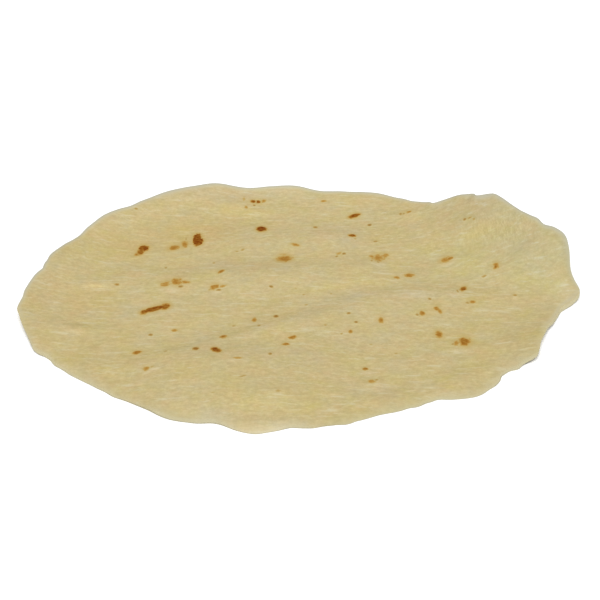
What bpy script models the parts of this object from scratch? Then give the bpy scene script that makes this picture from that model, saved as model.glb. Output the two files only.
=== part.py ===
"""A thin round flatbread lying on a table: one soft sheet of rolled dough, stretched by hand and griddled.

Metres, +Z up. The table is z = 0, the origin is in the middle of the bread's bounding box there, the front is
-Y and +X is to the right. Directions round the rim are degrees from +X, anticlockwise.
"""

import math
import random

import bmesh
import bpy
from mathutils import Matrix, Vector

# Driving dimensions
OVAL_WIDTH = 0.244
OVAL_DEPTH = 0.220
DOUGH = 0.0015  # thickness of the sheet between its blisters
RINGS = 28  # rings of triangles from the middle to the rim

# The rim is rounded: its outermost ring is thinner, and starts a little above the sheet's underside.
RIM_ROUND = 0.0017
RIM_DOUGH = 0.0008
RIM_UNDERCUT = 0.0003

# Where the outline leaves the plain oval: direction and half-width in degrees, and reach outwards in metres
OUTLINE_LOBES = (
    (-54, 66, -0.0096),  # the front right is drawn in
    (118, 44, 0.0076),  # the back left is stretched out
    (162, 26, -0.0030),
    (-134, 26, -0.0040),  # straight stretch at the front left
    (171, 4, -0.0014),
    (-170, 14, 0.0026),  # left tip
    (-157, 8, 0.0020),
    (-133, 5, 0.0012),
    (-117, 6, 0.0020),
    (-108, 5, -0.0024),
    (-99, 8, 0.0036),  # front bulge
    (-86, 6, 0.0014),
    (-62, 9, -0.0022),
    (-49, 8, 0.0042),  # front right corner
    (-37, 5, -0.0008),
    (-31, 5, 0.0014),
    (-24, 5, -0.0016),
    (-16, 12, -0.0062),  # hollow beside the right tip
    (-8, 6, -0.0034),
    (1, 5, 0.0030),  # right tip
    (11, 8, 0.0030),
    (19, 3, -0.0014),
    (27, 9, -0.0009),
    (40, 9, 0.0044),  # back right corner
    (51, 4, -0.0026),
    (57, 7, -0.0030),
    (70, 8, 0.0022),
    (86, 7, -0.0020),
    (97, 6, 0.0020),
    (110, 6, 0.0016),
    (142, 7, 0.0010),
    (154, 4, -0.0012),
    (164, 5, 0.0014),
)

# Where the rim curls up: direction and half-width in degrees, height and reach inwards in metres
RIM_LIFTS = (
    (30, 39, 0.0175, 0.060),  # the back right corner stands highest
    (14, 18, 0.0062, 0.045),
    (48, 7, 0.0018, 0.012),
    (-20, 22, 0.0048, 0.034),
    (76, 34, 0.0037, 0.036),
    (91, 7, 0.0016, 0.020),
    (116, 16, 0.0024, 0.030),
    (128, 54, 0.0042, 0.048),
    (138, 52, 0.0022, 0.016),
    (176, 44, 0.0060, 0.034),
)
LIFT_POWER = 1.8  # above 1, so that a curl starts gently and is steepest at the rim
CURL_LOBE = 14  # half-width in degrees of the narrowest outline lobe that the curl follows

# Long soft wrinkles, each an arc from one end to the other on the table: the two ends, how far the arc bows
# to the back, the crest's height, and the half-widths of its front and its back slope
WRINKLES = (
    ((-0.080, -0.074), (0.072, 0.014), 0.003, 0.0018, 0.030, 0.012),  # the main crease
    ((0.000, -0.010), (0.120, -0.008), 0.008, 0.0014, 0.030, 0.013),  # its flatter right end
    ((-0.108, 0.008), (0.056, 0.029), 0.002, 0.0020, 0.026, 0.018),
    ((-0.074, -0.060), (0.032, -0.047), -0.003, 0.0013, 0.026, 0.013),
    ((-0.053, 0.055), (0.048, 0.058), 0.000, 0.0016, 0.020, 0.026),
    ((-0.120, -0.030), (-0.076, -0.031), 0.000, 0.0011, 0.009, 0.009),
    ((-0.078, -0.082), (0.022, -0.088), -0.001, 0.0030, 0.026, 0.050),
)

WRINKLE_FADE = 1.5  # above 1, so that a wrinkle runs out gently at its ends

# Blisters: pockets of steam that left the sheet thicker
BLISTERS = 46
BLISTER_SEED = 7
BLISTER_RADIUS = (0.005, 0.010)
BLISTER_HEIGHT = (0.0002, 0.0007)
BLISTER_FIELD = 0.106  # how far from the middle they lie

DOUGH_COLOUR = (0.58, 0.47, 0.24, 1.0)


def swell(offset, half_width):
    """1 in the middle, falling smoothly to exactly 0 at half_width and beyond."""
    share = abs(offset) / half_width
    return math.cos(math.pi / 2 * share) ** 2 if share < 1 else 0.0


def turned(direction, other):
    """The angle between two directions, in degrees."""
    return (direction - other + 180) % 360 - 180


def outline_radius(direction, narrowest=0):
    """Distance from the middle of the oval to the rim, that way, leaving out lobes narrower than that."""
    turn = math.radians(direction)
    oval = 1 / math.hypot(math.cos(turn) / (OVAL_WIDTH / 2), math.sin(turn) / (OVAL_DEPTH / 2))
    lobes = [lobe for lobe in OUTLINE_LOBES if lobe[1] >= narrowest]
    return oval + sum(reach * swell(turned(direction, at), width) for at, width, reach in lobes)


def rim_lift(direction, radius):
    """Height of the curled-up rim over this place. It follows the broad outline, not the ragged edge."""
    inwards = outline_radius(direction, CURL_LOBE) - radius
    height = 0.0
    for at, width, top, reach in RIM_LIFTS:
        if inwards < reach:
            height += top * swell(turned(direction, at), width) * (1 - inwards / reach) ** LIFT_POWER
    return height


def wrinkle_height(x, y, wrinkle):
    """Height of one wrinkle over the point."""
    start, end, bow, top, front, back = wrinkle
    start = Vector(start)
    along = Vector(end) - start
    from_start = Vector((x, y)) - start
    share = from_start.dot(along) / along.length_squared
    if not 0 < share < 1:
        return 0.0
    hump = 4 * share * (1 - share)  # 0 at both ends, 1 halfway
    behind = along.cross(from_start) / along.length - bow * hump
    return top * hump**WRINKLE_FADE * swell(behind, back if behind > 0 else front)


def blister_field():
    """(x, y, radius, height) of each blister, spread evenly over the sheet at random."""
    draw = random.Random(BLISTER_SEED)
    field = []
    for _ in range(BLISTERS):
        out = BLISTER_FIELD * math.sqrt(draw.random())
        turn = draw.uniform(0, 2 * math.pi)
        radius = draw.uniform(*BLISTER_RADIUS)
        field.append((out * math.cos(turn), out * math.sin(turn), radius, draw.uniform(*BLISTER_HEIGHT)))
    return field


def blister_height(x, y, field):
    """Extra thickness over the point. Where blisters meet, the taller one counts."""
    return max(height * swell(math.hypot(x - at_x, y - at_y), radius) for at_x, at_y, radius, height in field)


def ring_grid():
    """A flat hexagon of even triangles, with RINGS rings round its middle vertex and a corner on +X."""
    grid = bmesh.new()
    corner_to_x = Matrix.Rotation(math.radians(-90), 4, "Z")
    bmesh.ops.create_circle(grid, cap_ends=True, cap_tris=True, segments=6, radius=1.0, matrix=corner_to_x)
    bmesh.ops.subdivide_edges(grid, edges=grid.edges[:], cuts=RINGS - 1, use_grid_fill=True)
    return grid


def ring_place(point):
    """(direction, ring) that turn the hexagon into a disc: even steps round it, and the ring's share out."""
    side = int(math.degrees(math.atan2(point.y, point.x)) % 360 // 60)
    first, second = (
        Vector((math.cos(math.radians(60 * corner)), math.sin(math.radians(60 * corner))))
        for corner in (side, side + 1)
    )
    to_first = point.cross(second) / first.cross(second)
    to_second = first.cross(point) / first.cross(second)
    ring = to_first + to_second
    return (60 * (side + to_second / ring), ring) if ring > 1e-6 else (0.0, 0.0)


def build_bread():
    """The sheet's underside, shaped from the ring grid, with a Solidify that gives it its thickness."""
    grid = ring_grid()
    blisters = blister_field()
    thickest = DOUGH + BLISTER_HEIGHT[1]
    last_inner = (RINGS - 1) / RINGS
    shares = []
    for vertex in grid.verts:
        direction, ring = ring_place(vertex.co.xy)
        at_rim = ring > 1 - 0.5 / RINGS
        reach = outline_radius(direction)
        radius = reach if at_rim else (reach - RIM_ROUND) * ring / last_inner
        x = radius * math.cos(math.radians(direction))
        y = radius * math.sin(math.radians(direction))
        height = rim_lift(direction, radius)
        height += sum(wrinkle_height(x, y, wrinkle) for wrinkle in WRINKLES)
        if at_rim:
            height += RIM_UNDERCUT
        vertex.co = (x, y, height)
        dough = RIM_DOUGH if at_rim else DOUGH + blister_height(x, y, blisters)
        shares.append(dough / thickest)

    low = [min(vertex.co[axis] for vertex in grid.verts) for axis in (0, 1)]
    high = [max(vertex.co[axis] for vertex in grid.verts) for axis in (0, 1)]
    middle = Vector(((low[0] + high[0]) / 2, (low[1] + high[1]) / 2, 0))
    bmesh.ops.translate(grid, verts=grid.verts, vec=-middle)
    bmesh.ops.recalc_face_normals(grid, faces=grid.faces)
    if sum(face.normal.z for face in grid.faces) < 0:
        bmesh.ops.reverse_faces(grid, faces=grid.faces)

    mesh = bpy.data.meshes.new("tortilla")
    grid.to_mesh(mesh)
    grid.free()
    bread = bpy.data.objects.new("tortilla", mesh)
    dough_group = bread.vertex_groups.new(name="dough")
    for index, share in enumerate(shares):
        dough_group.add([index], share, "REPLACE")
    solidify = bread.modifiers.new("Dough", "SOLIDIFY")
    solidify.thickness = thickest
    solidify.offset = 1.0
    solidify.vertex_group = "dough"
    mesh.shade_smooth()
    mesh.materials.append(dough_material())
    return bread


def dough_material():
    """Pale griddled dough: dry and matt."""
    material = bpy.data.materials.new("dough")
    material.use_nodes = True
    shader = material.node_tree.nodes["Principled BSDF"]
    shader.inputs["Base Color"].default_value = DOUGH_COLOUR
    shader.inputs["Roughness"].default_value = 0.8
    shader.inputs["Metallic"].default_value = 0.0
    return material


def main():
    for item in list(bpy.data.objects):
        bpy.data.objects.remove(item)
    collection = bpy.data.collections.new("flatbread")
    bpy.context.scene.collection.children.link(collection)
    collection.objects.link(build_bread())


main()
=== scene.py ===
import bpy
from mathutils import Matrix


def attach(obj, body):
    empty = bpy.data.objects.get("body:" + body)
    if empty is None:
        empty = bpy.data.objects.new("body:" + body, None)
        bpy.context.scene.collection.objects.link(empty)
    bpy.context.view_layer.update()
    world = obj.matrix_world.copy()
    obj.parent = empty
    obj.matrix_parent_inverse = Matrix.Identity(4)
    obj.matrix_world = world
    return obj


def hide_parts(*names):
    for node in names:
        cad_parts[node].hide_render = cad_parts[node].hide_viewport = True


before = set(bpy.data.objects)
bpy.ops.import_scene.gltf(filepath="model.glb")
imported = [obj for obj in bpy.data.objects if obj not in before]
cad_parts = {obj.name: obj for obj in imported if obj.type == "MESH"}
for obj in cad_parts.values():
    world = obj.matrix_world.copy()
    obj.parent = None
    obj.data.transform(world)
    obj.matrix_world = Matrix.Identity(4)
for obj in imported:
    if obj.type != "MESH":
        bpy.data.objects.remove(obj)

"""A thin griddled flatbread in a pale studio: a finer, softer sheet that stands for the CAD one.

Metres, +Z up, in the CAD's frame: the table is z = 0, the front is -Y. What was read off the photograph is in
its own columns and rows of pixels, and a camera ray carries each place to the bread.
"""

import math
import random

import bmesh
import bpy
import numpy as np
from mathutils import Vector, kdtree, noise
from mathutils.bvhtree import BVHTree

# Camera
PICTURE_SIDE = 600  # the photograph's width and height in pixels
LENS = 0.094
SENSOR = 0.036
CAMERA_DISTANCE = 0.700
CAMERA_HEIGHT_ANGLE = math.radians(28)
LOOK_AT = Vector((-0.0004, -0.0031, 0))  # on the table, behind the photograph's middle pixel

# Studio: a pale floor, a soft sun from the front, and an even white room
FLOOR_SIDE = 12
FLOOR_COLOUR = (0.96, 0.96, 0.96, 1)
ROOM_COLOUR = (1, 1, 1, 1)
SUN_HEIGHT_ANGLE = math.radians(54)
SUN_SOFTNESS = math.radians(36)
SUN_SHARE = 0.74  # what it adds on the table, where 1 shows a white surface as white
ROOM_SHARE = 0.56
LIGHT_SHARE = 1 / (SUN_SHARE + ROOM_SHARE)  # a surface's own colour over its shown one, in linear light
DISPLAY_GAMMA = 2.2  # a share of the shown colour, raised to this, is a share of the linear one

# Toasted spots: photograph column and row of the middle, width and height in pixels, tilt in degrees
# (anticlockwise), how brown from 0 to 1, and how ragged from 0 to 1
TOP_SPOTS = (
    (136, 209, 4, 2.4, 0, 0.50, 0.4),
    (143.8, 248.6, 10.5, 7, 5, 0.96, 0.2),
    (140.5, 252, 8, 7, 30, 0.82, 0.2),
    (137.2, 254.2, 7, 4.6, 30, 0.66, 0.3),
    (174, 247.8, 13.5, 5.8, 14, 0.70, 0.4),
    (184.6, 244.4, 8.5, 8, 30, 0.66, 0.5),
    (186, 239, 2.5, 5, 0, 0.35, 0.5),
    (197.2, 239.7, 9, 13.5, 0, 1.00, 0.2),
    (198.2, 241.5, 11, 8.5, 0, 1.00, 0.2),
    (244, 200, 3.5, 7, 0, 0.30, 0.9),
    (246, 207.8, 4, 4, 0, 0.48, 0.5),
    (253.2, 201.6, 5.6, 3.8, 0, 0.90, 0.3),
    (258.2, 202, 5, 3.8, 0, 0.96, 0.3),
    (263.6, 201.2, 5, 4, 20, 0.58, 0.6),
    (254.3, 205.4, 3, 2.4, 0, 0.60, 0.4),
    (261.5, 229, 10.5, 5.8, 0, 0.97, 0.2),
    (315.5, 227.4, 5.4, 2.6, -5, 0.60, 0.3),
    (295.6, 244.8, 10, 3.8, -12, 0.62, 0.4),
    (237.5, 251.3, 5, 2, 0, 0.40, 0.6),
    (242.5, 249.8, 5, 2.5, 15, 0.44, 0.6),
    (284.5, 259, 18, 8.4, 4, 0.69, 0.3),
    (283, 254.3, 12, 1.6, 0, 0.36, 0.5),
    (214, 263, 3.5, 1.8, 0, 0.46, 0.5),
    (221.4, 271.4, 7.4, 3.2, 22, 0.74, 0.3),
    (166, 267.7, 3, 3, 0, 0.40, 0.6),
    (166, 284, 12, 6.6, 10, 0.58, 0.8),
    (176.6, 281.8, 13, 8.6, -10, 0.66, 0.5),
    (185.5, 282.3, 9.5, 4, -8, 0.62, 0.5),
    (180.5, 286.6, 5, 2.6, 0, 0.72, 0.4),
    (214.5, 287, 10.5, 6, 20, 0.64, 0.6),
    (209.8, 289.7, 4, 2, 20, 0.45, 0.3),
    (222.5, 286, 9, 3, 8, 0.52, 0.5),
    (218.5, 290, 5, 2.4, 0, 0.76, 0.4),
    (271.2, 286.7, 5.4, 2.8, -15, 0.72, 0.4),
    (117, 285.2, 5.6, 2.8, 0, 0.60, 0.4),
    (154, 309.5, 28.5, 5.4, 13, 0.93, 0.1),
    (165.3, 307, 11, 7, 10, 0.86, 0.2),
    (144.5, 312.2, 9.5, 5.6, 14, 0.84, 0.2),
    (296, 288.5, 4, 3, 0, 0.24, 0.6),
    (304, 294.8, 4, 2, 0, 0.40, 0.5),
    (331, 293.8, 4, 2, 0, 0.30, 0.5),
    (306, 305, 6, 2, 10, 0.40, 0.5),
    (276, 316.4, 5.6, 3.2, 0, 0.80, 0.3),
    (254.3, 320, 5.4, 5, 0, 0.64, 0.3),
    (259, 325.9, 4, 2, 0, 0.50, 0.4),
    (233.8, 326, 4.5, 2, 0, 0.40, 0.5),
    (323.6, 201.2, 6.5, 2.8, 6, 0.60, 0.4),
    (354, 216, 13.5, 4.6, 18, 0.90, 0.3),
    (369.6, 225.1, 4.8, 2.6, 8, 0.72, 0.3),
    (352.2, 236, 8.2, 3.3, 0, 0.92, 0.2),
    (355, 239, 3, 2, 0, 0.40, 0.5),
    (375.8, 241.3, 6, 2.2, 5, 0.54, 0.4),
    (343.8, 253.8, 4.5, 2.8, 15, 0.66, 0.4),
    (338.8, 253.6, 7, 3.5, 20, 0.38, 0.7),
    (336.7, 256.5, 3.5, 2, 15, 0.54, 0.4),
    (378, 258, 15, 8.6, 0, 0.58, 0.6),
    (385, 256, 9, 5, 20, 0.56, 0.5),
    (372, 256.6, 7, 3, -8, 0.56, 0.4),
    (378, 261.6, 3.5, 3, 0, 0.55, 0.5),
    (371.8, 260.8, 3, 2, 0, 0.55, 0.4),
    (445.5, 260.6, 14.5, 6.6, 9, 0.62, 0.4),
    (449.5, 259.6, 8, 3.6, 12, 0.76, 0.3),
    (400.6, 214.8, 3.6, 3, 0, 0.60, 0.4),
    (403.6, 214.7, 4, 2.6, 0, 0.54, 0.4),
    (408.5, 212.9, 6.4, 3, 15, 0.54, 0.5),
    (464.7, 219.8, 4, 3.2, 0, 0.66, 0.4),
    (470, 218.2, 5, 2.4, 10, 0.54, 0.4),
    (473.8, 219.9, 3, 3, 0, 0.42, 0.5),
    (396.6, 277.6, 6.4, 3.2, -5, 0.62, 0.5),
    (409.5, 275.4, 11, 4.2, 3, 0.70, 0.3),
    (429.8, 299, 4.6, 2.4, 0, 0.58, 0.4),
    (496, 266.5, 7, 7.6, 0, 0.62, 0.4),
    (495.5, 267.3, 3.6, 5, 0, 0.74, 0.3),
    (484.3, 276.2, 5.8, 2.4, 8, 0.50, 0.4),
    (463.3, 288.9, 8, 4.4, 20, 0.86, 0.2),
    (457.8, 291, 2.8, 3, 0, 0.50, 0.5),
    (472.6, 302, 6.8, 3.4, 5, 0.72, 0.3),
    (467.5, 302.8, 4.4, 2.2, 0, 0.54, 0.5),
    (515, 295.3, 5, 2.4, 0, 0.58, 0.4),
    (436.6, 308.8, 7, 5.2, 0, 0.64, 0.4),
    (439.9, 311.8, 6, 4.6, -45, 0.64, 0.4),
    (422.3, 313.9, 6.2, 5.2, 0, 0.70, 0.3),
    (417.3, 315, 3.6, 2.8, 0, 0.54, 0.5),
    (349, 313.3, 5.2, 2.4, 8, 0.66, 0.3),
    (356, 322.3, 4.6, 2.4, 0, 0.66, 0.3),
    (350.6, 331.5, 5, 4.2, 0, 0.68, 0.3),
    (341.5, 333.7, 4, 2, 15, 0.40, 0.5),
    (380.9, 320.8, 6, 6.5, 0, 0.68, 0.3),
    (325.5, 325, 4, 2, 0, 0.40, 0.5),
    (438.9, 335, 8, 7.4, 0, 0.72, 0.2),
    (464.5, 342, 13.5, 9, 8, 0.78, 0.2),
    (456, 343.8, 6.4, 5, 25, 0.60, 0.5),
    (453.3, 344.8, 3.4, 2.4, 0, 0.54, 0.5),
    (371, 344.8, 4, 2, 0, 0.36, 0.5),
    (396, 353.6, 5, 2, 0, 0.36, 0.5),
    (365.3, 369, 7, 3.2, 0, 0.76, 0.3),
    (371.8, 382.3, 9, 3.8, 0, 0.54, 0.4),
    (376.5, 380.8, 5, 2.6, 20, 0.44, 0.6),
    (174.8, 330.3, 7.5, 2.9, 5, 0.58, 0.4),
    (150.4, 334.8, 5, 2.6, 0, 0.68, 0.3),
    (223.4, 337.2, 8, 3.4, 0, 0.72, 0.3),
    (195.8, 349, 6.8, 2.9, 0, 0.80, 0.3),
    (216, 349.8, 11, 4.2, -13, 0.92, 0.2),
    (137.2, 352.6, 9.8, 4, 8, 0.78, 0.3),
    (146, 368.7, 7, 4.8, 10, 0.54, 0.6),
    (151.5, 366.8, 4.5, 2.2, 10, 0.36, 0.6),
    (165.5, 351.6, 4, 2, 8, 0.40, 0.5),
    (237.3, 358.4, 12, 2, 2, 0.46, 0.6),
    (292.4, 337.4, 8.6, 3.4, 14, 0.78, 0.3),
    (285.8, 344.2, 8.5, 2.9, 3, 0.74, 0.3),
    (270.3, 353.6, 4.6, 2.4, 5, 0.68, 0.3),
    (242.5, 376, 9, 1.8, 10, 0.40, 0.5),
    (278.2, 391.4, 7, 3, 0, 0.34, 0.5),
    (213, 392.5, 6, 1.6, 5, 0.24, 0.7),
    (310, 366, 6, 1.6, 5, 0.24, 0.7),
)

# The faintest specks on top and the spots underneath aren't read off the photograph: how many, seed, smallest
# and largest length, and how brown
TOP_SPECKS = (60, 3, (0.0008, 0.0018), (0.10, 0.20))
UNDER_SPOTS = (70, 11, (0.0016, 0.0085), (0.40, 0.95))
SEEDED_REACH = 0.100  # how far from the middle they lie
SEEDED_WIDTH = (0.5, 1.0)  # their width over their length
SEEDED_RAGGED = (0.3, 1.0)

# Broad and small patches of another tone: photograph column and row of the middle, width and height in
# pixels, tilt in degrees, then how much lighter, yellower and redder the dough is there, as shares. Some are
# the dough's own tone, and some are painted light and shade: thin bands lightened along the creases, the
# curled corner darkened, and pale patches in front of toasted spots, painted highlights on their blisters
TONES = (
    (165, 238, 190, 70, 12, 0.000, 0.050, 0.012),  # ochre, left of the middle at the back
    (270, 190, 340, 30, 0, 0.020, -0.020, -0.010),
    (215, 232, 90, 44, 0, -0.010, 0.020, 0.018),
    (250, 211, 110, 18, 0, 0.030, 0.035, 0.000),
    (265, 268, 100, 16, 0, -0.010, -0.025, 0.000),
    (330, 235, 100, 44, 0, 0.000, -0.030, 0.000),
    (480, 255, 200, 110, 0, -0.010, -0.020, -0.018),
    (475, 235, 52, 24, 20, 0.012, 0.040, -0.004),
    (415, 217, 44, 16, 0, 0.025, 0.040, 0.000),
    (545, 262, 110, 120, 0, -0.035, -0.040, -0.022),  # painted shade: the curled corner is darkened, so that it is no brighter than the rest
    (480, 205, 160, 50, 0, -0.025, -0.045, -0.008),
    (562, 288, 44, 44, 0, 0.020, -0.055, -0.016),
    (530, 345, 110, 80, 30, -0.012, 0.015, 0.000),
    (470, 335, 180, 100, 15, -0.005, 0.015, 0.000),
    (40, 300, 60, 110, 0, 0.000, 0.000, 0.006),
    (85, 300, 100, 50, 0, 0.000, 0.035, 0.018),
    (95, 355, 110, 56, -25, -0.010, 0.035, 0.008),
    (270, 398, 200, 40, 0, 0.006, 0.025, 0.000),
    (230, 416, 150, 30, -8, 0.000, -0.030, -0.008),
    (110, 222, 210, 40, 27, 0.020, -0.015, 0.000),
    (275, 188, 110, 18, 0, 0.025, -0.025, -0.008),
    (165, 240, 180, 34, 12, -0.012, 0.020, 0.012),
    (198, 413, 110, 18, -10, 0.025, -0.015, -0.008),
    (190, 390, 110, 28, -4, 0.010, -0.012, 0.000),
    (262, 430, 170, 40, 0, 0.075, -0.030, 0.000),
    (238, 361, 34, 4, 4, 0.030, -0.010, 0.000),
    (276, 371, 14, 5, 0, 0.040, -0.020, 0.000),
    (262, 402, 90, 6, 0, 0.024, 0.010, 0.000),
    (330, 395, 60, 6, 4, 0.024, 0.000, 0.000),
    (400, 414, 210, 40, 12, -0.005, 0.025, 0.000),
    (530, 215, 130, 50, -35, 0.010, -0.025, -0.012),
    (572, 262, 44, 110, 0, -0.002, -0.015, -0.020),
    (28, 312, 44, 90, 0, -0.012, 0.000, 0.000),
    (180, 264, 120, 20, 0, 0.020, 0.000, 0.006),
    (345, 262, 90, 16, 0, 0.020, -0.010, 0.000),
    (290, 228, 130, 16, 0, 0.020, -0.020, 0.000),
    (165, 354, 120, 12, 14, 0.012, -0.020, 0.000),
    (200, 194, 240, 30, 8, 0.005, -0.030, 0.000),
    (200, 325, 150, 44, 15, 0.010, -0.005, 0.000),
    (250, 295, 110, 36, 0, 0.005, -0.020, 0.000),
    (250, 354, 120, 24, 0, 0.000, -0.030, 0.000),
    (350, 284, 130, 13, 9, 0.025, 0.025, 0.000),
    (280, 322, 140, 12, 17, 0.012, -0.045, 0.000),
    (405, 293, 180, 14, 0, 0.022, -0.040, 0.000),
    (258, 202.5, 24, 11, 0, -0.010, 0.120, 0.010),  # scorched among its specks
    (340, 255, 16, 8, 15, 0.000, 0.080, 0.005),
    (469, 220, 16, 9, 0, 0.000, 0.080, 0.005),
    (404, 213.5, 18, 7, 10, 0.000, 0.070, 0.005),
    (96, 286.5, 44, 5, 0, 0.090, -0.010, -0.014),  # floury streaks
    (80, 320, 42, 5, -3, 0.055, -0.010, -0.008),
    (77, 325, 44, 6, 0, -0.055, 0.010, 0.000),
    (76, 331, 38, 7, 0, 0.055, -0.030, -0.008),
    (105, 346, 20, 4, 0, 0.050, -0.020, 0.000),
    (151, 371, 26, 6, 12, 0.050, -0.050, 0.000),
    (200, 382, 60, 5, 4, 0.030, -0.010, 0.000),
    (118, 378, 40, 5, -10, 0.035, -0.010, 0.000),
    (175, 375, 34, 5, 4, -0.030, 0.000, 0.000),
    (60, 345, 40, 5, -8, 0.030, -0.010, 0.000),
    (88, 362, 20, 4, -15, 0.050, -0.020, 0.000),
    (142, 385, 30, 4, 0, 0.050, -0.020, 0.000),
    (138, 390, 24, 4, 0, -0.045, 0.000, 0.000),
    (155, 316, 36, 4, 13, 0.050, -0.020, 0.000),
    # Pale patches, most just in front of a toasted spot: painted highlights where the blisters face the light
    (172, 290.5, 30, 5, 0, 0.055, -0.040, 0.004),
    (216, 292, 18, 5, 0, 0.055, -0.040, 0.000),
    (232, 369, 22, 3, 0, 0.030, -0.010, 0.000),
    (197, 371, 16, 3, 0, 0.025, -0.010, 0.000),
    (395, 382, 12, 3, 0, 0.035, -0.010, 0.000),
    (412, 392, 14, 4, 0, 0.030, -0.010, 0.000),
    (487, 375, 18, 6, 10, 0.060, -0.040, 0.000),
    (378, 387, 30, 12, 0, 0.030, -0.040, 0.000),
    (370, 373, 20, 4, 0, 0.030, -0.040, 0.000),
    (457, 351, 22, 9, 0, 0.045, -0.060, 0.000),
    (445, 266, 24, 5, 8, 0.055, -0.040, 0.000),
    (457, 294, 12, 4, 15, 0.055, -0.040, -0.010),
    (516, 298.5, 12, 5, 0, 0.060, -0.050, 0.006),
    (336, 259.5, 10, 4, 0, 0.030, -0.030, 0.000),
    (376, 264, 20, 5, 0, 0.055, -0.050, 0.000),
    (325, 205, 14, 4, 0, 0.025, -0.020, 0.000),
    (277, 393, 20, 9, 0, 0.025, -0.020, 0.000),
    (240, 413, 14, 5, 0, 0.030, -0.030, 0.000),
    (448, 388, 18, 5, 0, -0.010, 0.080, 0.000),
)
HATCH = (505, 226, 160, 80, -10)  # where fine wrinkles run up the curled corner, as a patch's first five

# Fine ridges: photograph column and row of both ends, then how far the ridge bows to the back, its height,
# and the half-widths of its front and its back slope
RIDGES = (
    ((118, 369), (352, 304), 0, 0.00030, 0.008, 0.005),
    ((72, 285), (140, 280), 0, 0.00050, 0.007, 0.010),
    ((222, 278), (304, 273), 0.001, 0.00035, 0.012, 0.010),
    ((196, 362), (262, 360), 0, 0.00025, 0.012, 0.009),
    ((310, 269), (385, 268), 0, 0.00035, 0.016, 0.010),
    ((425, 266), (492, 258), 0, 0.00060, 0.016, 0.012),
    ((378, 214), (436, 211), 0, 0.00055, 0.012, 0.006),
    ((448, 226), (504, 220), 0, 0.00055, 0.014, 0.009),
    ((306, 238), (360, 234), 0, 0.00040, 0.012, 0.008),
    ((198, 204), (254, 202), 0, 0.00070, 0.009, 0.010),
    ((232, 213), (296, 212), 0, 0.00050, 0.008, 0.008),
    ((58, 374), (146, 366), 0, 0.00055, 0.010, 0.012),
    ((84, 394), (170, 387), 0, 0.00040, 0.008, 0.016),
    ((252, 391), (304, 391), 0, 0.00030, 0.008, 0.005),
    ((358, 384), (390, 382), 0, 0.00050, 0.008, 0.006),
    ((434, 390), (508, 364), 0, 0.00090, 0.014, 0.011),
    ((437, 348), (468, 340), 0, 0.00035, 0.008, 0.005),
    ((486, 280), (574, 262), 0, 0.00100, 0.020, 0.010),
    ((505, 262), (560, 240), 0, 0.00050, 0.008, 0.008),
    ((330, 404), (460, 396), 0, 0.00080, 0.008, 0.014),
    ((140, 318), (190, 308), 0, 0.00040, 0.012, 0.010),
    ((190, 338), (230, 330), 0, 0.00030, 0.010, 0.008),
    ((350, 334), (470, 318), 0, 0.00050, 0.020, 0.016),
)

# The sheet
WELD = 0.000001  # the CAD's vertices are one where they are this close
QUAD_BEND = math.radians(30)  # its triangles are joined in pairs that bend less than this
QUAD_SKEW = math.radians(60)  # and whose corners are off square by less than this
SMOOTH_LEVELS = 2
BUMPS = ((0.0035, 0.00001, 1), (0.0070, 0.00002, 2), (0.0140, 0.00004, 3))  # size, height and seed
NOISE_SHIFT = (7.3, 3.1, 5.7)  # each seed's noise starts this far from the last one's
DEPTH_SEEN = 0.5  # a step to the back looks about this share of its size

# Toasted spots
SPOT_PUFF = 0.00016  # height of the blister under a fully brown spot
PUFF_SPREAD = 1.7  # its radius, in radii of the spot
PUFF_TILT = (0.0, 3.0)  # for tilt_share: it is on the side that faces up
SOFT_SPOT = 0.0024  # a spot of up to this size has the softest edge, and a larger one a crisper edge
SOFTNESS = (0.4, 1.0)  # of the crispest edge, and of the softest
EDGE_SPREAD = 0.4  # how far past its outline the softest edge reaches, in radii of the spot
EDGE_DEPTH = 0.5  # and how much of its brown middle that edge takes
SMALL_SPOT = 0.000004  # a spot of less area than this is a duller brown
DULL_RATE = 2.5  # how fast it gets duller as the area shrinks
DULLEST = 0.6  # the largest share of the dull brown
SCORCH_REACH = 0.0018  # how far past its edge a spot tints the dough
LARGE_SPOT = 0.000012  # a spot of less area than this tints it less

# The rim's colour, with painted shade and light
RIM_LINE = 0.0018  # width of the thin dull line round the rim
RIM_BAND = 0.0028  # width of the paler band inside that line
RIM_SLOPE = 0.0052  # as far in as this, a slope that faces the light is painted darker, so that it is no brighter than the rest
FRONT_TURN = 3  # a place is at the front as far as it lies in front of the middle
FRONT_LEAN = 2  # and as far as its surface leans to the front
BACK_LINE_TILT = (0.3, 1.2)  # for tilt_share: at the back, the line is on the top
FRONT_LINE_TILT = (0.6, -2.0)  # at the front, it is painted shade where the rim meets the table, on the side and the underside
FRONT_LINE_HEIGHT = 0.0008  # up to this height
FRONT_LINE_SHARE = 0.4  # and fainter
FRONT_BAND_TILT = (0.95, -0.65)  # there the band is mostly on the side, as painted light that evens out the side's shade
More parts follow.
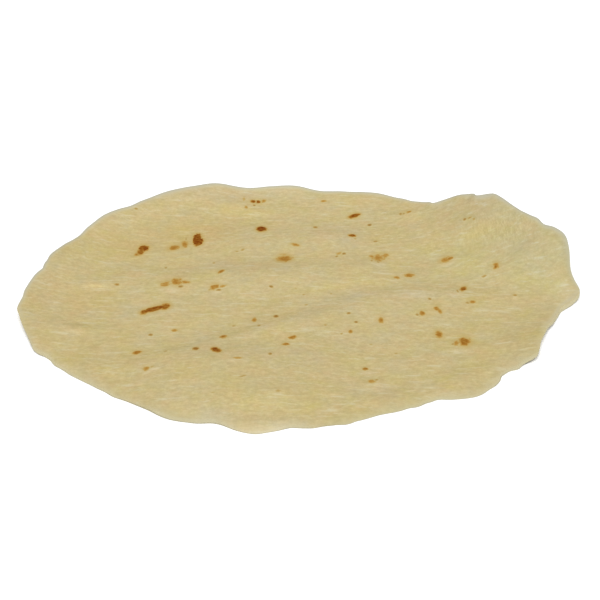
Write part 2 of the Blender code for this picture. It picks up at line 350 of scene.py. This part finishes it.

# Where the rim reaches further out or less far than the CAD's: direction and half-width in degrees, and reach
RIM_TOUCHES = (
    (-176, 3, -0.0006),
    (-171.5, 2.5, 0.0006),
    (-160, 5, -0.0004),
    (-153.5, 4, -0.0019),
    (-148, 3, -0.0004),
    (-134.5, 3, -0.0006),
    (-116, 6, -0.0006),
    (-111, 3, 0.0004),
    (-99, 3, 0.0004),
    (-92, 2.5, -0.0005),
    (-85, 2.5, -0.0006),
    (-80, 3, 0.0012),
    (-71.5, 6, -0.0013),
    (-62.5, 3, 0.0011),
    (-57, 2.5, -0.0010),
    (-43, 3.5, 0.0010),
    (-38.5, 2.5, -0.0015),
    (-36, 2.5, -0.0018),
    (-32, 3.6, -0.0021),
    (-5.5, 3.5, -0.0014),
    (0, 3, 0.0014),
    (13, 3, 0.0005),
    (18, 2, -0.0005),
    (24, 3, -0.0006),
    (32, 6, 0.0012),
    (41.8, 2.8, -0.0043),
    (49, 3.5, 0.0022),
    (53, 2, -0.0022),
    (58, 3, 0.0008),
    (62, 3, 0.0006),
    (72, 3, -0.0004),
    (89, 9, 0.0019),
    (99, 5, 0.0003),
    (112, 6, 0.0006),
    (124, 5, 0.0005),
    (134, 3.5, -0.0009),
    (157, 3, -0.0005),
    (163, 4, -0.0009),
    (169.5, 2.5, 0.0008),
)
RIM_BELT = 0.012  # how far in from the rim those are felt

# The soft rim's underside settles onto the table where it is nearly there
RIM_SOFT = 0.002  # how far in from the rim
RIM_DRAPE = (0.0015, 0.0045)  # all the way from the first height, not at all from the second
RIM_FOOT = 0.0004  # how far its foot spreads outwards
FOOT_TILT = (0.5, -1.0)  # for tilt_share: it is on the underside
RIM_SECTORS = 480  # the rim is found in each of these, and distances are measured to RIM_STEPS places on it
RIM_STEPS = 3600

# Noise in the dough's colour: size, detail, roughness, and how much finer it is across and deep
FIELDS = {
    "tint": (0.016, 6.0, 0.68, 1.0, 1.0),
    "rosy": (0.011, 5.0, 0.75, 1.0, 1.0),
    "shade": (0.010, 5.0, 0.85, 1.0, 1.0),
    "streaks": (0.0018, 3.0, 0.80, 0.7, 1.0),
    "hatching": (0.0022, 3.0, 0.85, 1.7, 0.45),
    "flecks": (0.0026, 4.0, 0.75, 0.22, 1.0),
}
FIELD_SHIFT = (1.7, 2.3, 3.1)  # each of them starts this far from the last one in the noise
HATCHING_CONTRAST = (1.4, -0.2)  # what the hatching is multiplied by, and what is added

# Noise in the toasted spots, the rim and the bump: size, detail and roughness
RIPPLES = (0.0020, 4.0, 0.7)
VEINS = (0.0016, 3.0, 0.7)
RIM_PATCHES = (0.040, 2.0, 0.5)
CREASES = (0.0030, 3.0, 0.7)

# How the ripples and veins change a spot: each pair is what they are multiplied by, and what is added
OUTLINE_RIPPLE = (2.2, 0.7)  # the most ragged outline ripples by their sum, the smoothest by the second
SCORCH_RIPPLE = (1.5, 0.7)
BROWN_VEINS = (1.0, 0.44)
HIGHLIGHT_RIPPLE = 2.0  # in the outline of a spot's pale surround, a painted highlight on the front of its blister
HIGHLIGHT_AHEAD = 1.2  # the surround's middle is this far in front of the spot's, in radii of the spot
HIGHLIGHT_FADE = (1.5, 0.3)  # it starts and is full this far from there
TOAST_FADE = (0.0, 0.30)  # brown starts to cover the dough, and covers it

PATCHY_RIM = (0.20, 0.50)  # values of its noise where the pale band starts and is full
RIM_DULLNESS = 0.85  # how much of the dough's colour the dull line hides
GRAIN_HEIGHT = 0.70  # in the bump, where the creases' height is 1
BUMP_HEIGHT = 0.00008


def camera_point():
    """Where the camera stands."""
    out = Vector((0, -math.cos(CAMERA_HEIGHT_ANGLE), math.sin(CAMERA_HEIGHT_ANGLE)))
    return LOOK_AT + CAMERA_DISTANCE * out


def pixel_ray(column, row):
    """Direction from the camera through that pixel of the photograph."""
    forward = (LOOK_AT - camera_point()).normalized()
    right = Vector((1, 0, 0))
    up = right.cross(forward)
    focal = PICTURE_SIDE * LENS / SENSOR
    half = PICTURE_SIDE / 2
    return (forward + right * (column - half) / focal + up * (half - row) / focal).normalized()


def bread_place(surface, pixel):
    """The point of the bread under that pixel, or of the table past its rim, and the way it faces there."""
    ray = pixel_ray(*pixel)
    place, normal, _, _ = surface.ray_cast(camera_point(), ray)
    if place is None:
        return camera_point() - ray * (camera_point().z / ray.z), Vector((0, 0, 1))
    return place, normal


def swell(share):
    """1 where share is 0, falling smoothly to 0 at 1 and beyond."""
    return np.cos(np.minimum(np.abs(share), 1) * math.pi / 2) ** 2


def tilt_share(normals, upright, change):
    """A share from 0 to 1: upright on an upright surface, and changed by change on one that faces up."""
    return np.clip(upright + change * normals[:, 2], 0, 1)


def ellipse(middle, length, width, tilt, squeeze):
    """A place on the bread, and what turns a step (x, y) from it into shares of the ellipse's half-sizes.

    squeeze is how much shorter than its true depth a step to the back looks, so that the ellipse has the
    outline that the camera sees.
    """
    turn = math.radians(tilt)
    along = np.array((math.cos(turn), math.sin(turn) * squeeze)) / (length / 2)
    across = np.array((-math.sin(turn), math.cos(turn) * squeeze)) / (width / 2)
    return {"middle": np.array(middle), "along": along, "across": across, "area": length * width}


def photo_ellipse(surface, column, row, length, width, tilt):
    """An ellipse that was read off the photograph in pixels, where its camera ray meets the bread."""
    pixel = CAMERA_DISTANCE * SENSOR / LENS / PICTURE_SIDE
    place, normal = bread_place(surface, (column, row))
    squeeze = math.sin(CAMERA_HEIGHT_ANGLE) - normal.y / normal.z * math.cos(CAMERA_HEIGHT_ANGLE)
    scale = pixel * (place - camera_point()).length / CAMERA_DISTANCE
    return ellipse(place.xy, length * scale, width * scale, tilt, squeeze)


def photo_spots(surface):
    """The toasted spots read off the photograph."""
    spots = []
    for column, row, length, width, tilt, brown, ragged in TOP_SPOTS:
        spot = photo_ellipse(surface, column, row, length, width, tilt)
        spots.append({**spot, "brown": brown, "ragged": ragged})
    return spots


def seeded_spots(count, seed, sizes, browns):
    """Spots scattered evenly round the middle."""
    draw = random.Random(seed)
    spots = []
    for _ in range(count):
        out = SEEDED_REACH * math.sqrt(draw.random())
        turn = draw.uniform(0, 2 * math.pi)
        middle = (out * math.cos(turn), out * math.sin(turn))
        length = draw.uniform(*sizes)
        width = length * draw.uniform(*SEEDED_WIDTH)
        spot = ellipse(middle, length, width, draw.uniform(0, 180), squeeze=1)
        spots.append({**spot, "brown": draw.uniform(*browns), "ragged": draw.uniform(*SEEDED_RAGGED)})
    return spots


def away_from(spot, points):
    """How far each point is from the middle of an ellipse, where 1 is its edge."""
    steps = points[:, :2] - spot["middle"]
    return np.hypot(steps @ spot["along"], steps @ spot["across"])


def finer_sheet(node):
    """A finer copy of the CAD sheet, its facets smoothed away."""
    sheet = bpy.data.objects.new("bread_sheet", node.data.copy())
    sheet.data.materials.clear()
    bpy.context.scene.collection.objects.link(sheet)
    grid = bmesh.new()
    grid.from_mesh(sheet.data)
    bmesh.ops.remove_doubles(grid, verts=grid.verts, dist=WELD)
    bmesh.ops.join_triangles(
        grid, faces=grid.faces, angle_face_threshold=QUAD_BEND, angle_shape_threshold=QUAD_SKEW
    )
    grid.to_mesh(sheet.data)
    grid.free()
    smooth = sheet.modifiers.new("Smooth", "SUBSURF")
    smooth.levels = SMOOTH_LEVELS
    smooth.render_levels = SMOOTH_LEVELS
    return applied(sheet)


def applied(piece):
    """The piece with its modifiers made into its mesh."""
    solid = bpy.data.meshes.new_from_object(piece.evaluated_get(bpy.context.evaluated_depsgraph_get()))
    piece.modifiers.clear()
    piece.data = solid
    solid.shade_smooth()
    return piece


def array_of(items, value, width):
    """One value of each of the mesh's items, as an array with that many columns."""
    flat = np.empty(len(items) * width)
    items.foreach_get(value, flat)
    return flat.reshape(-1, width)


def noise_at(points, size, seed):
    """Smooth noise from about -1 to 1 at each point, with features of about that size."""
    shift = Vector([seed * step for step in NOISE_SHIFT])
    return np.array([noise.noise(Vector(point) / size + shift) for point in points])


def ridge_relief(surface, points):
    """Height over each point of the fine ridges. Each rises and falls along its length."""
    relief = np.zeros(len(points))
    for start_pixel, end_pixel, bow, top, front, back in RIDGES:
        start = np.array(bread_place(surface, start_pixel)[0].xy)
        along = np.array(bread_place(surface, end_pixel)[0].xy) - start
        steps = points[:, :2] - start
        share = steps @ along / (along @ along)
        hump = np.maximum(4 * share * (1 - share), 0)
        behind = (along[0] * steps[:, 1] - along[1] * steps[:, 0]) / np.linalg.norm(along) - bow * hump
        relief += top * hump * swell(behind / np.where(behind > 0, back, front))
    return relief


def spot_relief(spots, points):
    """Height over each point of the blisters under the toasted spots."""
    relief = np.zeros(len(points))
    for spot in spots:
        blister = SPOT_PUFF * spot["brown"] * swell(away_from(spot, points) / PUFF_SPREAD)
        relief = np.maximum(relief, blister)
    return relief


def raise_relief(sheet, surface, top_spots):
    """Gives the sheet its fine ridges, its toasted spots' blisters and the small bumps of rolled dough."""
    mesh = sheet.data
    points = array_of(mesh.vertices, "co", 3)
    normals = array_of(mesh.vertex_normals, "vector", 3)
    bumps = spot_relief(top_spots, points) * tilt_share(normals, *PUFF_TILT)
    for size, height, seed in BUMPS:
        bumps += height * noise_at(points, size, seed)
    moved = points + normals * bumps[:, None]
    moved[:, 2] += ridge_relief(surface, points)
    shape_rim(moved, normals)
    mesh.vertices.foreach_set("co", moved.ravel())
    mesh.update()


def shape_rim(points, normals):
    """Moves the points near the rim to where the photograph has it, and its soft underside to the table."""
    outwards = points[:, :2] - np.array(LOOK_AT.xy)
    directions = np.degrees(np.arctan2(outwards[:, 1], outwards[:, 0]))
    outwards /= np.linalg.norm(outwards, axis=1)[:, None]
    from_rim = rim_distances(points)
    reaches = np.zeros(len(points))
    for direction, half_width, reach in RIM_TOUCHES:
        turned = (directions - direction + 180) % 360 - 180
        reaches += reach * swell(turned / half_width)
    draped = np.interp(points[:, 2], RIM_DRAPE, (1, 0))
    foot = swell(from_rim / RIM_SOFT) * tilt_share(normals, *FOOT_TILT) * draped
    reaches = reaches * swell(from_rim / RIM_BELT) + RIM_FOOT * foot
    points[:, :2] += outwards * reaches[:, None]
    points[:, 2] = np.maximum(points[:, 2] * (1 - foot), 0)


def rim_distances(points, depth=1.0):
    """How far each point lies from the rim, seen from above, with depths foreshortened to that share."""
    turns = np.arctan2(points[:, 1], points[:, 0])
    radii = np.hypot(points[:, 0], points[:, 1])
    sectors = ((turns / (2 * math.pi) + 0.5) * RIM_SECTORS).astype(int) % RIM_SECTORS
    outwards = np.argsort(radii)
    furthest = np.zeros(RIM_SECTORS, dtype=int)
    furthest[sectors[outwards]] = outwards
    rim = kdtree.KDTree(RIM_STEPS)
    for step, turn in enumerate(np.linspace(-math.pi, math.pi, RIM_STEPS, endpoint=False)):
        radius = np.interp(turn, turns[furthest], radii[furthest], period=2 * math.pi)
        rim.insert((radius * math.cos(turn), radius * math.sin(turn) * depth, 0), step)
    rim.balance()
    return np.array([rim.find((x, y * depth, 0))[2] for x, y, _ in points])


def light_on(normals):
    """How much light reaches a surface that faces that way, from sun, room and floor: 1 where it faces up."""
    sun = np.array((0, -math.cos(SUN_HEIGHT_ANGLE), math.sin(SUN_HEIGHT_ANGLE)))
    up_share = (1 + normals[:, 2]) / 2
    direct = SUN_SHARE * np.maximum(normals @ sun, 0) / sun[2]
    return (direct + ROOM_SHARE * up_share) * LIGHT_SHARE + 1 - up_share


def write_attribute(mesh, name, domain, values):
    """Stores a number or a vector for each item of the mesh, for its material to read."""
    kind, slot = ("FLOAT_VECTOR", "vector") if values.ndim == 2 else ("FLOAT", "value")
    mesh.attributes.new(name, kind, domain).data.foreach_set(slot, values.ravel())


def mark_spots(sheet, top_spots, under_spots):
    """Writes to the mesh the spot that shows at each of its faces, and each corner's place in that spot."""
    mesh = sheet.data
    points = array_of(mesh.vertices, "co", 3)
    middles = array_of(mesh.polygons, "center", 3)
    upwards = array_of(mesh.polygons, "normal", 3)[:, 2] > 0
    corner_points = points[array_of(mesh.loops, "vertex_index", 1).astype(int).ravel()]
    corner_count = array_of(mesh.polygons, "loop_total", 1).astype(int).ravel()

    spots = top_spots + under_spots
    middle, along, across, area, brown, ragged = (
        np.array([spot[key] for spot in spots])
        for key in ("middle", "along", "across", "area", "brown", "ragged")
    )
    softness = np.clip(SOFT_SPOT / np.sqrt(area), *SOFTNESS)
    edge = 1 + EDGE_SPREAD * softness
    core = brown**2 * (1 - EDGE_DEPTH * softness)
    small = np.clip(DULL_RATE * (1 - area / SMALL_SPOT), 0, DULLEST)

    # The hottest spot shows, or else the nearest one, whose surround may reach the face.
    away = np.stack([away_from(spot, middles) for spot in spots])
    away[: len(top_spots), ~upwards] = np.inf
    away[len(top_spots) :, upwards] = np.inf
    heat = brown[:, None] * np.clip((edge[:, None] - away) / (edge - core)[:, None], 0, 1)
    shown = np.where(heat > 0, heat, -away).argmax(0)

    corner_spot = np.repeat(shown, corner_count)
    steps = corner_points[:, :2] - middle[corner_spot]
    places = np.zeros((len(steps), 3))
    places[:, 0] = (steps * along[corner_spot]).sum(1)
    places[:, 1] = (steps * across[corner_spot]).sum(1)
    write_attribute(mesh, "spot_place", "CORNER", places)
    values = {"edge": edge, "core": core, "brown": brown, "small": small, "ragged": ragged}
    for name, of_spots in values.items():
        write_attribute(mesh, "spot_" + name, "FACE", of_spots[shown])


def scorch_at(spots, points):
    """How much the toasted spots tint the dough around them, at each point."""
    scorched = np.zeros(len(points))
    for spot in spots:
        steps = np.hypot(*((points[:, :2] - spot["middle"]) * (1, DEPTH_SEEN)).T)
        outside = 1 - 1 / np.maximum(away_from(spot, points), 1)  # the share of the step past the spot's edge
        strength = spot["brown"] * min(spot["area"] / LARGE_SPOT, 1)
        scorched = np.maximum(scorched, strength * swell(steps * outside / SCORCH_REACH))
    return scorched


def tones_and_painted_light_at(surface, points, upwards):
    """The dough's tone at each point, painted light and shade included: its red, green and blue as shares of
    the plain dough's.
    """
    tone = np.ones((len(points), 3))
    for *place, lighter, yellower, redder in TONES:
        share = swell(away_from(photo_ellipse(surface, *place), points)) * upwards
        tone += share[:, None] * (lighter + redder / 2, lighter - redder / 2, lighter - yellower)
    return tone


def rim_colours(points, normals, from_rim):
    """How much of the rim's dull line, and of its pale band, is at each point. At the front the line is
    painted shade at the rim's foot, and the band on the side is painted light against the side's shade.
    """
    to_front = -points[:, 1] / np.hypot(points[:, 0], points[:, 1])
    front = np.clip(FRONT_TURN * to_front - FRONT_LEAN * normals[:, 1], 0, 1)
    low = FRONT_LINE_SHARE * np.clip(1 - points[:, 2] / FRONT_LINE_HEIGHT, 0, 1)
    front_line = low * tilt_share(normals, *FRONT_LINE_TILT)
    line = (1 - front) * tilt_share(normals, *BACK_LINE_TILT) + front * front_line
    band = 1 - front + front * tilt_share(normals, *FRONT_BAND_TILT)
    return line * swell(from_rim / RIM_LINE), band * swell(from_rim / RIM_BAND)


def mark_dough(sheet, surface, top_spots, under_spots):
    """Writes to each of the mesh's points how its dough looks between the toasted spots, with painted shade
    on the rim's slopes that face the light.
    """
    mesh = sheet.data
    points = array_of(mesh.vertices, "co", 3)
    normals = array_of(mesh.vertex_normals, "vector", 3)
    upwards = normals[:, 2] > 0
    from_rim = rim_distances(points, DEPTH_SEEN)
    # Painted shade: the rim's slopes that face the light are darkened by about as much as the light brightens
    # them
    painted_rim_shade = np.maximum(light_on(normals) ** (1 / DISPLAY_GAMMA) - 1, 0) * swell(from_rim / RIM_SLOPE)
    tone = tones_and_painted_light_at(surface, points, upwards) - painted_rim_shade[:, None]
    dull, pale = rim_colours(points, normals, from_rim)
    looks = {
        "scorched": np.where(upwards, scorch_at(top_spots, points), scorch_at(under_spots, points)),
        "tone": tone**DISPLAY_GAMMA,
        "hatched": swell(away_from(photo_ellipse(surface, *HATCH), points)),
        "rim_dull": dull,
        "rim_pale": pale,
    }
    for name, values in looks.items():
        write_attribute(mesh, name, "POINT", values)


class Nodes:
    """Short calls that add shader nodes to one material."""

    def __init__(self, name):
        self.material = bpy.data.materials.new(name)
        self.material.use_nodes = True
        self.tree = self.material.node_tree
        self.shader = self.tree.nodes["Principled BSDF"]

    def add(self, kind, settings=None, **inputs):
        """A node with these settings. Each input is a value or another node's socket, by its name."""
        node = self.tree.nodes.new(kind)
        for name, value in (settings or {}).items():
            setattr(node, name, value)
        for name, value in inputs.items():
            self.feed(node.inputs[name.replace("_", " ")], value)
        return node

    def feed(self, socket, value):
        """Links a socket, or sets a plain value."""
        if isinstance(value, bpy.types.NodeSocket):
            self.tree.links.new(value, socket)
        else:
            socket.default_value = value

    def attribute(self, name, output="Fac"):
        """What was written to the mesh under that name."""
        return self.add("ShaderNodeAttribute", {"attribute_name": name}).outputs[output]

    def math(self, operation, first, second=0.0, third=0.0):
        """The result of a Math node."""
        node = self.tree.nodes.new("ShaderNodeMath")
        node.operation = operation
        for socket, value in zip(node.inputs, (first, second, third)):
            self.feed(socket, value)
        return node.outputs[0]

    def times(self, first, second):
        """The two values multiplied."""
        return self.math("MULTIPLY", first, second)

    def scaled(self, value, factor, added):
        """The value multiplied by the factor, with the last one added."""
        return self.math("MULTIPLY_ADD", value, factor, added)

    def fade(self, value, start, full, shape="SMOOTHSTEP"):
        """0 where value is at start or before it, 1 at full or past it. start may be the larger one."""
        node = self.add("ShaderNodeMapRange", {"interpolation_type": shape}, Value=value)
        self.feed(node.inputs["From Min"], start)
        self.feed(node.inputs["From Max"], full)
        return node.outputs[0]

    def blend(self, share, first, second):
        """first where share is 0, second where it is 1."""
        node = self.add("ShaderNodeMix", {"data_type": "RGBA"})
        colours = [socket for socket in node.inputs if socket.type == "RGBA"]
        self.feed(node.inputs["Factor"], share)
        self.feed(colours[0], first)
        self.feed(colours[1], second)
        return next(socket for socket in node.outputs if socket.type == "RGBA")

    def noise(self, place, size, detail, roughness):
        """Noise from 0 to 1, with features of about that size in metres."""
        settings = {"Scale": 1 / size, "Detail": detail, "Roughness": roughness}
        return self.add("ShaderNodeTexNoise", None, Vector=place, **settings).outputs["Fac"]

    def vector_math(self, operation, first, second=(0.0, 0.0, 0.0), output="Vector"):
        """What a Vector Math node makes of two vectors."""
        node = self.add("ShaderNodeVectorMath", {"operation": operation})
        self.feed(node.inputs[0], first)
        self.feed(node.inputs[1], second)
        return node.outputs[output]

    def length(self, vector):
        """How long the vector is."""
        return self.vector_math("LENGTH", vector, output="Value")

    def ramp(self, share, stops):
        """The colour that (position, colour) stops give."""
        node = self.add("ShaderNodeValToRGB", None, Fac=share)
        elements = node.color_ramp.elements
        elements[0].position, elements[1].position = stops[0][0], stops[-1][0]
        elements[0].color, elements[1].color = stops[0][1], stops[-1][1]
        for position, shade in stops[1:-1]:
            elements.new(position).color = shade
        return node.outputs["Color"]


def own(red, green, blue):
    """A surface's own linear colour, from the sRGB colour that it shows, as 0 to 255."""
    return tuple(((c / 255 + 0.055) / 1.055) ** 2.4 * LIGHT_SHARE for c in (red, green, blue)) + (1.0,)


DOUGH_GOLD = own(199, 182, 115)
DOUGH_GREY = own(197, 184, 147)
DOUGH_ROSY = own(206, 179, 130)
DOUGH_DARK = own(176, 160, 112)
DOUGH_LIGHT = own(222, 207, 156)
# Pale flecks of flour in the dough, and the painted highlight in front of a toasted spot's blister
FLOUR_AND_HIGHLIGHT = own(214, 204, 166)
OCHRE = own(194, 166, 100)
# The rim's pale band, painted light where it lies on the side at the front, and its dull line, painted shade
# at the rim's foot at the front
RIM_PALE = own(212, 203, 166)
RIM_DULL = own(180, 177, 158)
TOAST = (
    (0.00, own(198, 179, 124)),
    (0.20, own(193, 166, 100)),
    (0.40, own(187, 149, 78)),
    (0.60, own(175, 129, 55)),
    (0.80, own(154, 101, 28)),
    (1.00, own(125, 60, 2)),
)
DULL_TOAST = (
    (0.00, own(197, 179, 124)),
    (0.30, own(184, 163, 107)),
    (0.60, own(166, 140, 84)),
    (1.00, own(128, 98, 44)),
)


# What the noise does to the dough's colour: at which value it starts, at which it is full, how much, and the
# colour it brings
MOTTLING = (
    ("tint", 0.27, 0.73, 1.00, DOUGH_GREY),
    ("rosy", 0.42, 0.76, 1.00, DOUGH_ROSY),
    ("shade", 0.50, 0.20, 0.13, DOUGH_DARK),
    ("shade", 0.50, 0.80, 0.13, DOUGH_LIGHT),
    ("grain", 0.50, 0.15, 0.80, DOUGH_DARK),
    ("grain", 0.50, 0.85, 0.80, DOUGH_LIGHT),
    ("flecks", 0.46, 0.26, 0.35, DOUGH_DARK),
    ("flecks", 0.55, 0.69, 0.72, FLOUR_AND_HIGHLIGHT),
)


def mottled_dough(n, place):
    """Colour of the dough between its toasted spots, and the fine grain that its bump shares."""
    fields = {}
    for seed, (name, (size, detail, roughness, across, deep)) in enumerate(FIELDS.items()):
        shifted = n.vector_math("ADD", place, tuple(seed * step for step in FIELD_SHIFT))
        squeezed = n.vector_math("MULTIPLY", shifted, (across, deep, 1.0))
        fields[name] = n.noise(squeezed, size, detail, roughness)
    hatching = n.scaled(fields["hatching"], *HATCHING_CONTRAST)
    grain = n.add("ShaderNodeMix", None, Factor=n.attribute("hatched"), A=fields["streaks"], B=hatching)
    fields["grain"] = grain.outputs["Result"]
    base = DOUGH_GOLD
    for name, start, full, strength, colour in MOTTLING:
        share = n.times(n.fade(fields[name], start, full, "LINEAR"), strength)
        base = n.blend(share, base, colour)
    return base, fields["grain"]


def toasted(n, place, base):
    """The dough's colour with its toasted spots. Each face knows its place in the one that shows there."""
    spot = n.attribute("spot_place", "Vector")
    brown = n.attribute("spot_brown")
    ragged = n.attribute("spot_ragged")
    ripple = n.math("SUBTRACT", n.noise(place, *RIPPLES), 0.5)

    # A paler surround, most of all on its front, is painted highlight where the blister faces the light, and
    # the heat leaves a darker one.
    from_highlight = n.length(n.vector_math("ADD", spot, (0.0, HIGHLIGHT_AHEAD, 0.0)))
    painted_blister_highlight = n.fade(n.scaled(ripple, HIGHLIGHT_RIPPLE, from_highlight), *HIGHLIGHT_FADE)
    base = n.blend(n.times(n.times(painted_blister_highlight, ragged), brown), base, FLOUR_AND_HIGHLIGHT)
    scorched = n.times(n.attribute("scorched"), n.scaled(ripple, *SCORCH_RIPPLE))
    base = n.blend(scorched, base, OCHRE)

    away = n.scaled(ripple, n.scaled(ragged, *OUTLINE_RIPPLE), n.length(spot))
    inside = n.fade(away, n.attribute("spot_edge"), n.attribute("spot_core"))
    heat = n.times(n.times(inside, brown), n.scaled(n.noise(place, *VEINS), *BROWN_VEINS))
    toast = n.blend(n.attribute("spot_small"), n.ramp(heat, TOAST), n.ramp(heat, DULL_TOAST))
    return n.blend(n.fade(heat, *TOAST_FADE), base, toast)


def dough_material():
    """Dry griddled dough: pale cream, mottled, with toasted spots and a paler rim, and with painted light and
    shade in places.
    """
    n = Nodes("griddled_dough")
    place = n.add("ShaderNodeTexCoord").outputs["Object"]
    base, grain = mottled_dough(n, place)

    patchy = n.fade(n.noise(place, *RIM_PATCHES), *PATCHY_RIM)
    base = n.blend(n.times(n.attribute("rim_pale"), patchy), base, RIM_PALE)
    # The tone holds painted light and shade as well as the dough's own tones
    base = n.vector_math("MULTIPLY", base, n.attribute("tone", "Vector"))
    base = toasted(n, place, base)
    base = n.blend(n.times(n.attribute("rim_dull"), RIM_DULLNESS), base, RIM_DULL)
    n.feed(n.shader.inputs["Base Color"], base)
    n.shader.inputs["Roughness"].default_value = 0.75
    n.shader.inputs["Specular IOR Level"].default_value = 0.04

    height = n.scaled(grain, GRAIN_HEIGHT, n.noise(place, *CREASES))
    bump = n.add("ShaderNodeBump", None, Height=height, Strength=1.0, Distance=BUMP_HEIGHT)
    n.feed(n.shader.inputs["Normal"], bump.outputs["Normal"])
    return n.material


def build_bread():
    """The visible bread, which stands for the CAD sheet."""
    sheet = finer_sheet(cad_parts["tortilla"])
    surface = BVHTree.FromObject(sheet, bpy.context.evaluated_depsgraph_get())
    top_spots = photo_spots(surface) + seeded_spots(*TOP_SPECKS)
    raise_relief(sheet, surface, top_spots)
    under_spots = seeded_spots(*UNDER_SPOTS)
    mark_spots(sheet, top_spots, under_spots)
    mark_dough(sheet, surface, top_spots, under_spots)
    sheet.data.materials.append(dough_material())
    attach(sheet, "root")
    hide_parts("tortilla")


def build_studio():
    """A pale floor, an even white room and one soft sun from the front."""
    bpy.ops.mesh.primitive_plane_add(size=FLOOR_SIDE, location=(0, 0, 0))
    floor = bpy.context.object
    floor.name = "floor"
    n = Nodes("pale_floor")
    n.shader.inputs["Base Color"].default_value = FLOOR_COLOUR
    n.shader.inputs["Roughness"].default_value = 0.9
    n.shader.inputs["Specular IOR Level"].default_value = 0.1
    floor.data.materials.append(n.material)

    world = bpy.data.worlds.new("room")
    world.use_nodes = True
    background = world.node_tree.nodes["Background"]
    background.inputs["Color"].default_value = ROOM_COLOUR
    background.inputs["Strength"].default_value = ROOM_SHARE
    bpy.context.scene.world = world

    sun = bpy.data.objects.new("sun", bpy.data.lights.new("sun", "SUN"))
    sun.data.energy = SUN_SHARE * math.pi / math.sin(SUN_HEIGHT_ANGLE)
    sun.data.angle = SUN_SOFTNESS
    sun.rotation_euler = (math.radians(90) - SUN_HEIGHT_ANGLE, 0, 0)
    bpy.context.scene.collection.objects.link(sun)


def build_camera():
    """The photograph's viewpoint. Blender takes its lens and sensor in millimetres."""
    camera = bpy.data.objects.new("camera", bpy.data.cameras.new("camera"))
    camera.data.lens = LENS * 1000
    camera.data.sensor_width = SENSOR * 1000
    camera.location = camera_point()
    camera.rotation_euler = (LOOK_AT - camera.location).to_track_quat("-Z", "Y").to_euler()
    bpy.context.scene.collection.objects.link(camera)
    bpy.context.scene.camera = camera


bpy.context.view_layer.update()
build_camera()
build_studio()
build_bread()
bpy.context.scene.view_settings.view_transform = "Standard"
